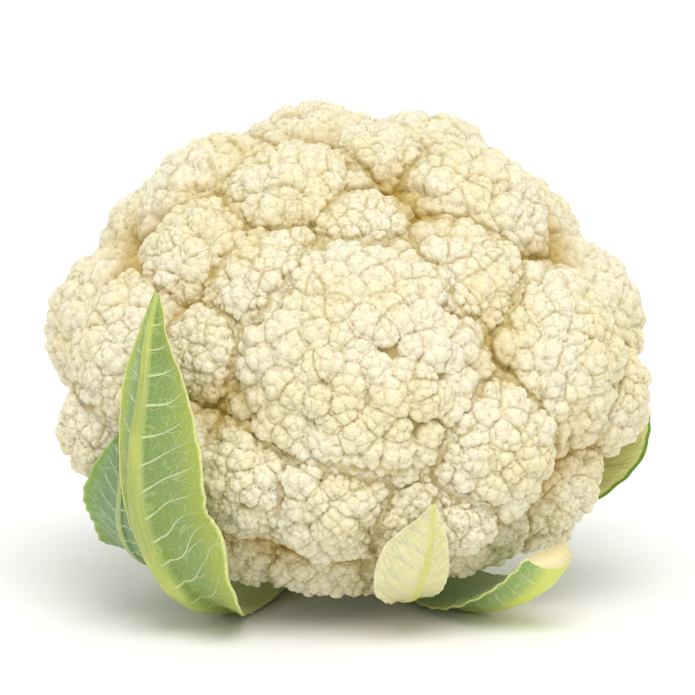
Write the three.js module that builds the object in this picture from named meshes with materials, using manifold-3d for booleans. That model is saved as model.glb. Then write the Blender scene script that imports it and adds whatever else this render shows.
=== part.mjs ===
// A head of cauliflower: the white curd, its cut stem and the eight leaves left round it.
// Units are millimetres and Z is up. The front of the head faces -Y, and the head leans forward.

import * as THREE from 'three';
import { mergeVertices } from 'three/addons/utils/BufferGeometryUtils.js';
import Module from 'manifold-3d';

const wasm = await Module();
wasm.setup();
const { Manifold } = wasm;

// How the head rests. The shapes are made in a frame whose Z is the stem's axis and whose
// origin is the middle of the curd. That frame is then leaned forward and lifted.
const HEAD_LEAN = 28;
const HEAD_CENTRE = { x: -0.9, y: 0, z: 67.9 };
const JOINT_GAP = 0.3;

// The egg-shaped surface that the tips of the florets touch, by its half lengths.
const SKIN = { across: 93, deep: 89, above: 82, below: 49 };
const SKIN_MARGIN = 0.4;

// On its lower right, between two leaves, the curd bulges past that surface: where, how far
// in millimetres, and over how many degrees to each side.
const BULGE = { bearing: 61, latitude: -24, height: 8, spread: 17 };

// The middle of the curd, where the branches grow together behind the florets.
const CORE = { across: 62, deep: 60, above: 50, below: 38 };
const CURD_DETAIL = 21;

// The florets of the side that leans forward: bearing and latitude in degrees, then the width
// of the floret's dome from its middle and how deep its tip lies under the skin, in
// millimetres. Bearing 0 is the front, 90 the right.
const FRONT_FLORETS = [
  [5, 38, 39, 0],
  [-4, 8, 22.5, 3],
  [-24, 10, 17.4, 3],
  [38, 12, 23.4, 2],
  [26, 1, 14, 3],
  [14, 3, 14, 4],
  [69, 20, 27, 0],
  [60, 50, 24, 6],
  [110, 51, 23, 1],
  [158, 65, 16, 5],
  [22, 79, 16.5, 7],
  [-118, 73, 24, 4],
  [-38, 55, 24, 6],
  [-82, 47, 22, 6],
  [-70, 20, 24, 0],
  [-46, 35, 15, 6],
  [-67, 2, 17, 0],
  [-43, 8, 19, 3],
  [-8, -20, 21, 1],
  [-32, -16, 19, 2],
  [14, -20, 18, 3],
  [36, -15, 20, 3],
  [62, -12, 19, 3],
  [80, 1, 17, 0],
  [-84, -12, 20, 3],
  [-60, -20, 18, 3],
  [61, -25, 18, 0],
];
const DOME_CURVE = 1.22;

// The florets round the hidden back stand in rings, evenly spaced.
const BACK_RINGS = [
  { latitude: 39, first: 150, last: 234, count: 3, width: 25, depth: 3 },
  { latitude: 9, first: 100, last: 264, count: 6, width: 23, depth: 1 },
  { latitude: -17, first: 112, last: 252, count: 6, width: 19, depth: 3 },
];

// The lobes that stand on each floret, and how deep the valleys between them are.
const LOBE = { share: 0.36, smallest: 7.5, largest: 11, spacing: 1.6, reach: 80, spread: 0.25 };
const LOBE_STEEPNESS = 0.93;
const GOLDEN_ANGLE = Math.PI * (3 - Math.sqrt(5));

// The branches that carry the outer florets, from the top of the stem.
const BRANCH = { root: 14, height: -32, rootRadius: 11, tipRadius: 13, beads: 7, highest: 30 };

// The cut stem.
const STEM = { radius: 23.5, top: -34, bottom: -100, sides: 36, rows: 11 };
const SCARS = [
  { bearing: 78, height: -68, width: 15, tall: 6 },
  { bearing: 124, height: -68, width: 15, tall: 6 },
  { bearing: -165, height: -72, width: 17, tall: 6 },
  { bearing: -118, height: -64, width: 15, tall: 6 },
];
const SCAR_HEIGHT = 1.3;

// The leaves. Each station along the midrib holds bearing, latitude, gap to the skin, and the
// blade's width to the left and to the right of the midrib, seen from outside with the tip up.
const BLADE = 0.9;
const SLIMMEST = 1.1;
const SIDE_COLUMNS = 4;
const RIB_COLUMNS = 4;
const LEAVES = {
  leaf_left_front: {
    rows: 22,
    stations: [
      [-56, -76, 13, 8, 8],
      [-46, -65, 12, 8, 9],
      [-37, -47, 9.6, 8, 9],
      [-32.5, -28, 8, 7.5, 10.5],
      [-33, -13, 7, 6.5, 22],
      [-36, -4, 5.5, 6, 28],
      [-40, 5, 4, 5.5, 26],
      [-43, 16, 3.5, 7, 24],
      [-46, 27, 3.5, 7.5, 16],
      [-51.5, 36, 3.5, 4, 7],
      [-55.5, 42.5, 4.5, 1, 1],
    ],
    rib: { base: 8, tip: 0.9, height: 6, tipHeight: 0.5, fade: 0.9 },
    flare: { left: 1, right: 1 },
    wave: { height: 2.2, count: 5, left: 0.4, right: 1 },
    colour: 0xa3b562,
  },
  leaf_left_side: {
    rows: 18,
    stations: [
      [-94, -76, 13, 6, 6],
      [-82, -64, 12, 6.5, 6],
      [-68, -50, 11, 8.5, 6],
      [-58, -37, 9, 11, 6],
      [-51, -24, 6, 13, 7],
      [-48, -12, 2.5, 13.5, 8],
      [-47, -1, 0.9, 13, 8],
      [-47, 9, 0.9, 9, 7],
      [-48, 16, 0.9, 1, 1],
    ],
    rib: { base: 5, tip: 0.8, height: 3, tipHeight: 0.25, fade: 1.5 },
    flare: { left: 1, right: 0.2 },
    wave: { height: 1.8, count: 4, left: 1, right: 0.2 },
    colour: 0x8fa86a,
  },
  leaf_front_stub: {
    rows: 14,
    stations: [
      [30, -76, 10, 6, 6],
      [21, -62, 7.5, 6, 6],
      [16, -46, 3.5, 5.5, 6],
      [14.5, -31, 0.6, 5.5, 6],
      [14, -18, 0.6, 5.5, 7.5],
      [14.5, -6, 0.6, 15, 8],
      [16, 4, 0.6, 13.5, 5.5],
      [17, 12, 0.8, 1, 1],
    ],
    rib: { base: 4.5, tip: 0.7, height: 2, tipHeight: 0.25, fade: 1.2 },
    flare: { left: 0.6, right: 0.6 },
    wave: { height: 1.2, count: 3, left: 1, right: 0.5 },
    colour: 0xe6e0a6,
  },
  leaf_right_front: {
    rows: 14,
    stations: [
      [60, -76, 12, 9, 9],
      [47, -60, 11, 11, 10],
      [38, -43, 8.5, 14, 10],
      [37.5, -27, 6.2, 15.5, 10],
      [39, -16, 4.8, 15, 9],
      [40.5, -7, 3.2, 11, 8],
    ],
    rib: { base: 9, tip: 7.5, height: 7.5, tipHeight: 7.5, fade: 1 },
    flare: { left: 0.5, right: 0.5 },
    wave: { height: 1, count: 2, left: 1, right: 0.4 },
    colour: 0xb2c26a,
  },
  leaf_right_side: {
    rows: 18,
    stations: [
      [106, -76, 13, 6.5, 6.5],
      [98, -64, 12, 7, 7],
      [90, -52, 9, 7.5, 7],
      [85, -41, 6, 8, 8],
      [82, -32, 3.5, 8, 10],
      [80, -25, 1.8, 8, 10],
      [83.5, -19, 1.2, 8, 9],
      [88, -14, 1, 6.5, 7],
      [91, -10, 1, 1, 1],
    ],
    rib: { base: 5.5, tip: 0.8, height: 3.6, tipHeight: 0.3, fade: 1.2 },
    flare: { left: 3.8, right: 0.5 },
    wave: { height: 1.6, count: 4, left: 0.5, right: 1 },
    colour: 0x8ca352,
  },
  leaf_back_right: {
    rows: 16,
    stations: [
      [146, -76, 13, 8, 8],
      [139, -64, 12, 10, 10],
      [134, -51, 9, 14, 14],
      [131, -40, 6, 18, 18],
      [130, -30, 3.5, 20, 20],
      [129, -20, 1.8, 20, 20],
      [129, -11, 1.2, 14, 14],
      [130, -3, 1.5, 1, 1],
    ],
    rib: { base: 7, tip: 0.9, height: 4.5, tipHeight: 0.4, fade: 1 },
    flare: { left: 1.5, right: 1.5 },
    wave: { height: 2.2, count: 4, left: 1, right: 1 },
    colour: 0x9ab05e,
  },
  leaf_back: {
    rows: 16,
    stations: [
      [190, -76, 13, 8, 8],
      [187, -64, 11.5, 9, 9],
      [186, -51, 8, 15, 15],
      [184, -37, 5, 21, 20],
      [183, -23, 2.5, 24, 23],
      [183, -9, 1.2, 23, 23],
      [184, 3, 1.2, 16, 17],
      [186, 12, 1.5, 1, 1],
    ],
    rib: { base: 7, tip: 0.9, height: 4.5, tipHeight: 0.4, fade: 1 },
    flare: { left: 1.5, right: 1.5 },
    wave: { height: 2.2, count: 4, left: 1, right: 1 },
    colour: 0x9ab05e,
  },
  leaf_back_left: {
    rows: 16,
    stations: [
      [236, -76, 13, 8, 8],
      [234, -64, 12, 10, 9],
      [235, -52, 9, 14, 14],
      [235, -41, 6, 17, 16],
      [235, -31, 3.5, 19, 17],
      [235, -22, 1.8, 18, 17],
      [235, -14, 1.2, 12, 12],
      [235, -7, 1.5, 1, 1],
    ],
    rib: { base: 7, tip: 0.9, height: 4.5, tipHeight: 0.4, fade: 1 },
    flare: { left: 1.5, right: 1.5 },
    wave: { height: 2, count: 4, left: 1, right: 1 },
    colour: 0x93aa5c,
  },
};

const COLOUR = { curd: 0xe9dcb4, stem: 0xc9d08e };

const radians = THREE.MathUtils.degToRad;

// Seeded draws, so that every run grows the same head.
function seededDraws(seed) {
  let state = seed;
  return () => {
    state = (state * 1664525 + 1013904223) % 4294967296;
    return state / 4294967296;
  };
}

function directionTo(bearing, latitude) {
  const flat = Math.cos(radians(latitude));
  return new THREE.Vector3(
    flat * Math.sin(radians(bearing)),
    -flat * Math.cos(radians(bearing)),
    Math.sin(radians(latitude)),
  );
}

// Distance from the middle to an egg-shaped surface.
function eggRadius(egg, direction) {
  const height = direction.z > 0 ? egg.above : egg.below;
  return 1 / Math.hypot(direction.x / egg.across, direction.y / egg.deep, direction.z / height);
}

// Distance from the middle to the surface that the florets reach.
function curdReach(direction) {
  const middle = directionTo(BULGE.bearing, BULGE.latitude);
  const share = Math.min(1, direction.angleTo(middle) / radians(BULGE.spread));
  return eggRadius(SKIN, direction) + BULGE.height * Math.cos(Math.PI / 2 * share) ** 2;
}

function floretList() {
  const florets = FRONT_FLORETS.map(([bearing, latitude, width, depth]) => ({
    bearing, latitude, width, depth,
  }));
  for (const { latitude, first, last, count, width, depth } of BACK_RINGS) {
    for (let i = 0; i < count; i += 1) {
      const bearing = first + (last - first) * i / (count - 1);
      florets.push({ bearing, latitude, width, depth });
    }
  }
  return florets;
}

// A floret's dome is part of a sphere whose highest point lies just under the skin.
function domeOf(floret) {
  const out = directionTo(floret.bearing, floret.latitude);
  const radius = floret.width * DOME_CURVE;
  const centre = out.clone().multiplyScalar(curdReach(out) - floret.depth - radius);
  return { out, centre, radius };
}

// A branch is a row of beads from the top of the stem to the middle of its floret.
function branchTo(floret) {
  const end = domeOf(floret).centre;
  const start = directionTo(floret.bearing, 0).multiplyScalar(BRANCH.root);
  start.z = BRANCH.height;
  const beads = [];
  for (let i = 0; i < BRANCH.beads; i += 1) {
    const share = i / (BRANCH.beads - 1);
    const radius = THREE.MathUtils.lerp(BRANCH.rootRadius, BRANCH.tipRadius, share);
    beads.push({ centre: start.clone().lerp(end, share), radius });
  }
  return beads;
}

// How far a ray from the middle runs before it leaves a sphere, or 0 if it misses.
function reachThrough(sphere, direction) {
  const along = sphere.centre.dot(direction);
  const inside = sphere.radius ** 2 - sphere.centre.lengthSq() + along ** 2;
  return inside < 0 ? 0 : along + Math.sqrt(inside);
}

// The curd before its lobes are raised: its radius in a direction, and which floret is there.
function domedSurface(domes, beads, direction) {
  let radius = eggRadius(CORE, direction);
  for (const bead of beads) {
    radius = Math.max(radius, reachThrough(bead, direction));
  }
  let floret = -1;
  domes.forEach((dome, index) => {
    const reach = reachThrough(dome, direction);
    if (reach > radius) {
      radius = reach;
      floret = index;
    }
  });
  return { radius: Math.min(radius, curdReach(direction) - SKIN_MARGIN), floret };
}

// The lobes stand on the floret in a golden-angle spiral, each moved and sized by a draw.
function lobesOf(floret, index, surfaceAt, draw) {
  const { out, centre, radius } = domeOf(floret);
  const turn = new THREE.Quaternion().setFromUnitVectors(new THREE.Vector3(0, 0, 1), out);
  const size = THREE.MathUtils.clamp(floret.width * LOBE.share, LOBE.smallest, LOBE.largest);
  const low = 1 - Math.cos(radians(LOBE.reach));
  const count = Math.round(2 * Math.PI * radius ** 2 * low / (0.87 * (LOBE.spacing * size) ** 2));
  const lobes = [];
  for (let i = 0; i < count; i += 1) {
    const jitter = () => (draw() - 0.5) * LOBE.spread * 2 * size / radius;
    const polar = Math.abs(Math.acos(1 - low * (i + 0.5) / count) + jitter());
    const around = i * GOLDEN_ANGLE + jitter();
    const direction = new THREE.Vector3()
      .setFromSphericalCoords(radius, polar, around)
      .applyAxisAngle(new THREE.Vector3(1, 0, 0), Math.PI / 2)
      .applyQuaternion(turn)
      .add(centre)
      .normalize();
    const surface = surfaceAt(direction);
    const width = size * (0.85 + 0.3 * draw());
    if (surface.floret === index) {
      lobes.push({ index, tip: direction.multiplyScalar(surface.radius), width });
    }
  }
  return lobes;
}

// How far a point on a floret lies below the round tops of the lobes beside it.
function valleyDepth(point, lobes) {
  let nearest = Infinity;
  let depth = 0;
  for (const lobe of lobes) {
    const away = point.distanceTo(lobe.tip) / lobe.width;
    if (away < nearest) {
      nearest = away;
      const slope = Math.min(1, away) * LOBE_STEEPNESS;
      depth = lobe.width * (1 - Math.sqrt(1 - slope ** 2));
    }
  }
  return depth;
}

function curdGeometry() {
  const draw = seededDraws(7);
  const florets = floretList();
  const domes = florets.map(domeOf);
  const beads = florets.filter((floret) => floret.latitude < BRANCH.highest).flatMap(branchTo);
  const surfaceAt = (direction) => domedSurface(domes, beads, direction);
  const lobes = florets.map((floret, index) => lobesOf(floret, index, surfaceAt, draw));
  const geometry = new THREE.IcosahedronGeometry(1, CURD_DETAIL);
  const points = geometry.attributes.position;
  const point = new THREE.Vector3();
  for (let i = 0; i < points.count; i += 1) {
    point.fromBufferAttribute(points, i).normalize();
    const surface = surfaceAt(point);
    point.multiplyScalar(surface.radius);
    if (surface.floret >= 0) {
      const depth = valleyDepth(point, lobes[surface.floret]);
      point.setLength(surface.radius - depth);
    }
    points.setXYZ(i, point.x, point.y, point.z);
  }
  return geometry;
}

// The raised crescents on the stem where lower leaves were cut off.
function scarRelief(bearing, height) {
  let relief = 0;
  for (const scar of SCARS) {
    const turn = THREE.MathUtils.euclideanModulo(bearing - scar.bearing + 180, 360) - 180;
    const across = radians(turn) * STEM.radius / (scar.width / 2);
    const up = (height - scar.height) / (scar.tall / 2);
    relief = Math.max(relief, SCAR_HEIGHT * Math.min(1, 2 * (1 - Math.hypot(across, up))));
  }
  return Math.max(0, relief);
}

function stemRadius(bearing, height) {
  const lobed = 0.5 * Math.cos(radians(5 * bearing)) + 0.4 * Math.sin(radians(3 * bearing + 40));
  const waist = 1.2 * Math.cos((height + 58) / 14);
  return STEM.radius + lobed + waist + scarRelief(bearing, height);
}

// The stem is turned about its axis, then its wall is moved in and out by the formula above.
function stemGeometry(grow) {
  const profile = [new THREE.Vector2(0, STEM.bottom)];
  for (let i = 0; i <= STEM.rows; i += 1) {
    const height = THREE.MathUtils.lerp(STEM.bottom, STEM.top + grow, i / STEM.rows);
    profile.push(new THREE.Vector2(1, height));
  }
  profile.push(new THREE.Vector2(0, STEM.top + grow));
  const geometry = new THREE.LatheGeometry(profile, STEM.sides);
  geometry.rotateX(Math.PI / 2);
  const points = geometry.attributes.position;
  for (let i = 0; i < points.count; i += 1) {
    const x = points.getX(i);
    const y = points.getY(i);
    const z = points.getZ(i);
    const bearing = THREE.MathUtils.radToDeg(Math.atan2(x, -y));
    const radius = Math.hypot(x, y) * (stemRadius(bearing, z) + grow);
    points.setXYZ(i, radius * Math.sin(radians(bearing)), -radius * Math.cos(radians(bearing)), z);
  }
  return geometry;
}

// A smooth curve through rows of values, from share 0 at the first to 1 at the last.
function alongStations(rows, share) {
  const last = rows.length - 1;
  const index = Math.min(Math.floor(share * last), last - 1);
  const u = share * last - index;
  return rows[0].map((_, column) => {
    const value = (k) => rows[k][column];
    const b = value(index);
    const c = value(index + 1);
    const a = index > 0 ? value(index - 1) : 2 * b - c;
    const d = index + 2 <= last ? value(index + 2) : 2 * c - b;
    const slopes = (c - a) * u + (2 * a - 5 * b + 4 * c - d) * u * u;
    return b + 0.5 * (slopes + (3 * b - a - 3 * c + d) * u * u * u);
  });
}

function midribPoint(leaf, share) {
  const [bearing, latitude, gap] = alongStations(leaf.stations, share);
  const out = directionTo(bearing, latitude);
  return out.multiplyScalar(eggRadius(SKIN, out) + gap);
}

function ribAt(leaf, share) {
  const fade = (1 - share) ** leaf.rib.fade;
  return {
    half: THREE.MathUtils.lerp(leaf.rib.tip, leaf.rib.base, fade),
    height: THREE.MathUtils.lerp(leaf.rib.tipHeight, leaf.rib.height, fade),
  };
}

// Positions across the blade: side columns, then the rib's own, then the other side's.
function columnsAcross(left, right, half) {
  const columns = [];
  for (let i = SIDE_COLUMNS; i > 0; i -= 1) {
    columns.push(-half - (left - half) * i / SIDE_COLUMNS);
  }
  for (let i = 0; i <= RIB_COLUMNS; i += 1) {
    columns.push(half * Math.sin(Math.PI * (i / RIB_COLUMNS - 0.5)));
  }
  for (let i = 1; i <= SIDE_COLUMNS; i += 1) {
    columns.push(half + (right - half) * i / SIDE_COLUMNS);
  }
  return columns;
}

// Where the blade is narrower than this, its flare is smaller in proportion.
const FULL_FLARE_WIDTH = 8;

// How far the blade's flare and the waves of its margin lift it off the skin.
function bladeLift(leaf, share, across, left, right) {
  const width = across < 0 ? left : right;
  const toEdge = Math.abs(across) / width;
  const side = across < 0 ? 'left' : 'right';
  const phase = across < 0 ? 1.3 : 0;
  const wave = 0.5 + 0.5 * Math.sin(2 * Math.PI * leaf.wave.count * share + phase);
  const grown = Math.min(1, 3 * share);
  const height = leaf.wave.height * leaf.wave[side];
  const flare = leaf.flare[side] * Math.min(1, width / FULL_FLARE_WIDTH);
  return grown * (flare * toEdge ** 2 + height * wave * toEdge ** 3);
}

// One row of the blade: its inner points and its outer points, from left to right.
function leafRow(leaf, share) {
  const step = 0.004;
  const centre = midribPoint(leaf, share);
  const ahead = midribPoint(leaf, Math.min(1, share + step));
  const behind = midribPoint(leaf, Math.max(0, share - step));
  const rightward = ahead.sub(behind).cross(centre).normalize();
  const [, , gap, leftWidth, rightWidth] = alongStations(leaf.stations, share);
  const rib = ribAt(leaf, share);
  const left = Math.max(leftWidth, rib.half + 0.2, SLIMMEST);
  const right = Math.max(rightWidth, rib.half + 0.2, SLIMMEST);
  const inner = [];
  const outer = [];
  for (const across of columnsAcross(left, right, rib.half)) {
    const out = centre.clone().addScaledVector(rightward, across).normalize();
    const radius = eggRadius(SKIN, out) + gap + bladeLift(leaf, share, across, left, right);
    const bulge = Math.sqrt(Math.max(0, 1 - (across / rib.half) ** 2));
    inner.push(out.clone().multiplyScalar(radius));
    outer.push(out.clone().multiplyScalar(radius + BLADE + rib.height * bulge));
  }
  return { inner, outer };
}

// The two faces of the blade share one pattern of triangles and are closed round the edge.
function leafGeometry(leaf) {
  const rows = [];
  for (let i = 0; i <= leaf.rows; i += 1) {
    rows.push(leafRow(leaf, i / leaf.rows));
  }
  const columns = rows[0].outer.length;
  const points = rows.flatMap((row) => [...row.outer, ...row.inner]);
  const outerAt = (i, j) => 2 * columns * i + j;
  const innerAt = (i, j) => outerAt(i, j) + columns;
  const end = leaf.rows;
  const faces = [];
  const quad = (a, b, c, d) => faces.push(a, b, c, b, d, c);
  for (let i = 0; i < leaf.rows; i += 1) {
    for (let j = 0; j < columns - 1; j += 1) {
      quad(outerAt(i, j), outerAt(i, j + 1), outerAt(i + 1, j), outerAt(i + 1, j + 1));
      faces.push(innerAt(i, j), innerAt(i + 1, j), innerAt(i, j + 1));
      faces.push(innerAt(i, j + 1), innerAt(i + 1, j), innerAt(i + 1, j + 1));
    }
    quad(innerAt(i, 0), outerAt(i, 0), innerAt(i + 1, 0), outerAt(i + 1, 0));
    const edge = columns - 1;
    quad(outerAt(i, edge), innerAt(i, edge), outerAt(i + 1, edge), innerAt(i + 1, edge));
  }
  for (let j = 0; j < columns - 1; j += 1) {
    quad(innerAt(0, j), innerAt(0, j + 1), outerAt(0, j), outerAt(0, j + 1));
    quad(outerAt(end, j), outerAt(end, j + 1), innerAt(end, j), innerAt(end, j + 1));
  }
  const geometry = new THREE.BufferGeometry().setFromPoints(points);
  geometry.setIndex(faces);
  return geometry;
}

function toSolid(geometry) {
  geometry.deleteAttribute('normal');
  geometry.deleteAttribute('uv');
  const merged = mergeVertices(geometry, 1e-4);
  return new Manifold(new wasm.Mesh({
    numProp: 3,
    vertProperties: new Float32Array(merged.attributes.position.array),
    triVerts: new Uint32Array(merged.index.array),
  }));
}

function toGeometry(solid) {
  const mesh = solid.getMesh();
  const geometry = new THREE.BufferGeometry();
  geometry.setAttribute('position', new THREE.BufferAttribute(mesh.vertProperties, 3));
  geometry.setIndex(new THREE.BufferAttribute(mesh.triVerts, 1));
  geometry.computeVertexNormals();
  return geometry;
}

// Whatever would lie below the surface that the head rests on is cut off flat.
function cutAtFloor(solid) {
  const lean = radians(HEAD_LEAN);
  return solid.trimByPlane([0, Math.sin(lean), Math.cos(lean)], -HEAD_CENTRE.z);
}

function addMesh(head, name, solid, colour, roughness) {
  const material = new THREE.MeshStandardMaterial({ color: colour, roughness, metalness: 0 });
  const mesh = new THREE.Mesh(toGeometry(solid), material);
  mesh.name = name;
  head.add(mesh);
}

function buildHead() {
  const head = new THREE.Group();
  const socket = toSolid(stemGeometry(JOINT_GAP));
  addMesh(head, 'curd', toSolid(curdGeometry()).subtract(socket), COLOUR.curd, 0.75);
  addMesh(head, 'stem', cutAtFloor(toSolid(stemGeometry(0))), COLOUR.stem, 0.6);
  for (const [name, leaf] of Object.entries(LEAVES)) {
    const solid = toSolid(leafGeometry(leaf)).subtract(socket);
    addMesh(head, name, cutAtFloor(solid), leaf.colour, 0.55);
  }
  head.rotation.x = radians(HEAD_LEAN);
  head.position.set(HEAD_CENTRE.x, HEAD_CENTRE.y, HEAD_CENTRE.z);
  return head;
}

const cauliflower = new THREE.Group();
cauliflower.add(buildHead());

export default cauliflower;
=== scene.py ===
# %% [markdown]
# A head of cauliflower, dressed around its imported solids.
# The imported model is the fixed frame. It says where every piece is and how large it is.
# Each solid is then replaced by a finer mesh of the same form, made by the same rules, so
# the florets, leaves and stem stay where they are while their surface gains detail.

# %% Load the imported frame
import math

import bpy
import numpy as np
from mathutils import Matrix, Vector


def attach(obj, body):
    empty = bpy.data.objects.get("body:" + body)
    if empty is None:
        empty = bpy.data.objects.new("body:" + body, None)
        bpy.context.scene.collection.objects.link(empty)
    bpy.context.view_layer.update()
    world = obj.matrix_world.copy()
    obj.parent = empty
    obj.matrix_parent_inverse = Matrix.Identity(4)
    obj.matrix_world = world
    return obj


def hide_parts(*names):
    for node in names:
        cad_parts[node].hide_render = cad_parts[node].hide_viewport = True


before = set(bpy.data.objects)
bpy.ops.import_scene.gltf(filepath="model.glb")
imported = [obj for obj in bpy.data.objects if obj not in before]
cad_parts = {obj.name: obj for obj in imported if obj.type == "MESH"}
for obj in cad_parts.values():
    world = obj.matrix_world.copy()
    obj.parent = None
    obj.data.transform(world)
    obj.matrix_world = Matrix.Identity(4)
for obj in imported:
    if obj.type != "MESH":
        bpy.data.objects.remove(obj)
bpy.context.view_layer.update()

print("packed nodes:", sorted(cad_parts))

# %% [markdown]
# All shapes are worked out in millimetres in the head's own frame, whose Z is the stem's
# axis and whose origin is the middle of the curd. The head then leans forward. These few
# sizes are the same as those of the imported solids, so nothing has to be fitted afterwards.

# %% Sizes that drive the whole head
MM = 0.001
HEAD_LEAN = math.radians(28)
HEAD_CENTRE = np.array([-0.9, 0.0, 67.9])
SKIN = {"across": 93.0, "deep": 89.0, "above": 82.0, "below": 49.0}
SKIN_MARGIN = 0.4
BULGE = {"bearing": 61, "latitude": -24, "height": 8, "spread": 17}
CORE = {"across": 62.0, "deep": 60.0, "above": 50.0, "below": 38.0}


def direction_to(bearing, latitude):
    """Unit vectors for bearings (0 front, 90 right) and latitudes, both in degrees."""
    bearing = np.radians(bearing)
    latitude = np.radians(latitude)
    flat = np.cos(latitude)
    return np.stack([flat * np.sin(bearing), -flat * np.cos(bearing), np.sin(latitude)], -1)


def egg_radius(egg, out):
    """Distance from the middle to an egg-shaped surface, along unit vectors."""
    height = np.where(out[..., 2] > 0, egg["above"], egg["below"])
    squares = (out[..., 0] / egg["across"]) ** 2 + (out[..., 1] / egg["deep"]) ** 2
    return 1 / np.sqrt(squares + (out[..., 2] / height) ** 2)


def curd_reach(out):
    """Distance to the surface that the florets reach, which bulges on the lower right."""
    middle = direction_to(BULGE["bearing"], BULGE["latitude"])
    angle = np.degrees(np.arccos(np.clip((out * middle).sum(-1), -1, 1)))
    share = np.minimum(1, angle / BULGE["spread"])
    return egg_radius(SKIN, out) + BULGE["height"] * np.cos(math.pi / 2 * share) ** 2


def to_row_frame(points):
    """Leans points of the head's frame forward and puts them where the head rests, in metres."""
    cos, sin = math.cos(HEAD_LEAN), math.sin(HEAD_LEAN)
    x, y, z = points[..., 0], points[..., 1], points[..., 2]
    leaned = np.stack([x, y * cos - z * sin, y * sin + z * cos], -1)
    return (leaned + HEAD_CENTRE) * MM


def unit(vectors):
    return vectors / np.linalg.norm(vectors, axis=-1, keepdims=True)


def smooth_step(low, high, values):
    share = np.clip((values - low) / (high - low), 0, 1)
    return share * share * (3 - 2 * share)


print("the skin touches", round(float(egg_radius(SKIN, direction_to(0, 90))), 1), "mm at the top")

# %% [markdown]
# Meshes are made from arrays of points and triangles. Values that the materials need, such
# as how deep a point lies in a crevice, are stored on the points as named attributes. An
# attribute moves with the surface, so the finish stays right from every side.

# %% Make a mesh piece from arrays
def make_piece(name, points, faces, masks, node, material):
    """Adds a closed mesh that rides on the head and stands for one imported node."""
    mesh = bpy.data.meshes.new(name)
    mesh.vertices.add(len(points))
    mesh.vertices.foreach_set("co", np.asarray(points, np.float32).ravel())
    faces = np.asarray(faces, np.int32)
    mesh.loops.add(faces.size)
    mesh.loops.foreach_set("vertex_index", faces.ravel())
    mesh.polygons.add(len(faces))
    mesh.polygons.foreach_set("loop_start", np.arange(0, faces.size, faces.shape[1], dtype=np.int32))
    mesh.update(calc_edges=True)
    mesh.polygons.foreach_set("use_smooth", np.ones(len(faces), bool))
    for key, values in masks.items():
        attribute = mesh.attributes.new(key, "FLOAT", "POINT")
        attribute.data.foreach_set("value", np.asarray(values, np.float32))
    mesh.materials.append(material)
    piece = bpy.data.objects.new(name, mesh)
    bpy.context.collection.objects.link(piece)
    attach(piece, "root")
    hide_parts(node)
    return piece


# %% [markdown]
# A finish starts with the effects that several materials share. Plant tissue is never one
# flat colour: it is mottled in soft clouds, and it has a fine grain, in whose lines the curd
# paints shade. Each effect is a node group with its own inputs, so the curd, the leaves and
# the stem use it with other values.

# %% Helpers for shader nodes
def linear(red, green, blue):
    """A colour read as 0 to 255 screen values, as the shaders need it."""
    channels = [value / 255 for value in (red, green, blue)]
    straight = [c / 12.92 if c <= 0.04045 else ((c + 0.055) / 1.055) ** 2.4 for c in channels]
    return (*straight, 1.0)


def add_node(tree, kind, **settings):
    node = tree.nodes.new(kind)
    for key, value in settings.items():
        setattr(node, key, value)
    return node


def feed(tree, value, socket):
    """Links a worked-out value to a socket, or sets the socket to a plain one."""
    if isinstance(value, Value):
        value = value.socket
    if isinstance(value, bpy.types.NodeSocket):
        tree.links.new(value, socket)
    else:
        socket.default_value = value


def set_inputs(tree, node, **values):
    """Feeds a node's inputs, which are named with an underscore for each space."""
    for key, value in values.items():
        feed(tree, value, node.inputs[key.replace("_", " ")])


def calculate(operation, first, second=0.0):
    """One math node on two numbers, of which at least one is a Value."""
    tree = (first if isinstance(first, Value) else second).tree
    node = add_node(tree, "ShaderNodeMath", operation=operation)
    feed(tree, first, node.inputs[0])
    feed(tree, second, node.inputs[1])
    return Value(tree, node.outputs[0])


class Value:
    """A number in a shader. Arithmetic on it adds the math nodes that work it out."""

    def __init__(self, tree, socket):
        self.tree = tree
        self.socket = socket

    def __add__(self, other):
        return calculate("ADD", self, other)

    def __sub__(self, other):
        return calculate("SUBTRACT", self, other)

    def __rsub__(self, other):
        return calculate("SUBTRACT", other, self)

    def __mul__(self, other):
        return calculate("MULTIPLY", self, other)

    def __truediv__(self, other):
        return calculate("DIVIDE", self, other)

    def __pow__(self, other):
        return calculate("POWER", self, other)

    def __lt__(self, other):
        return calculate("LESS_THAN", self, other)

    def __abs__(self):
        return calculate("ABSOLUTE", self)

    def clamped(self):
        """The same number, kept between 0 and 1 by the math node that gave it."""
        self.socket.node.use_clamp = True
        return self


def mix_colour(tree, share, first, second):
    """Mixes two colours by a share; each may be a socket or a plain colour."""
    node = add_node(tree, "ShaderNodeMix", data_type="RGBA")
    feed(tree, share, node.inputs[0])
    feed(tree, first, node.inputs[6])
    feed(tree, second, node.inputs[7])
    return node.outputs[2]


def smooth_mask(low, high, value):
    """0 below low and 1 above high, with a soft step between; both may be Values."""
    node = add_node(value.tree, "ShaderNodeMapRange", interpolation_type="SMOOTHSTEP")
    set_inputs(value.tree, node, Value=value, From_Min=low, From_Max=high)
    return Value(value.tree, node.outputs["Result"])


def attribute(tree, name):
    node = add_node(tree, "ShaderNodeAttribute", attribute_type="GEOMETRY", attribute_name=name)
    return Value(tree, node.outputs["Fac"])


def object_place(tree):
    return add_node(tree, "ShaderNodeTexCoord").outputs["Object"]


def socket_kind(label):
    return "NodeSocketColor" if label.lower().endswith("colour") else "NodeSocketFloat"


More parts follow.
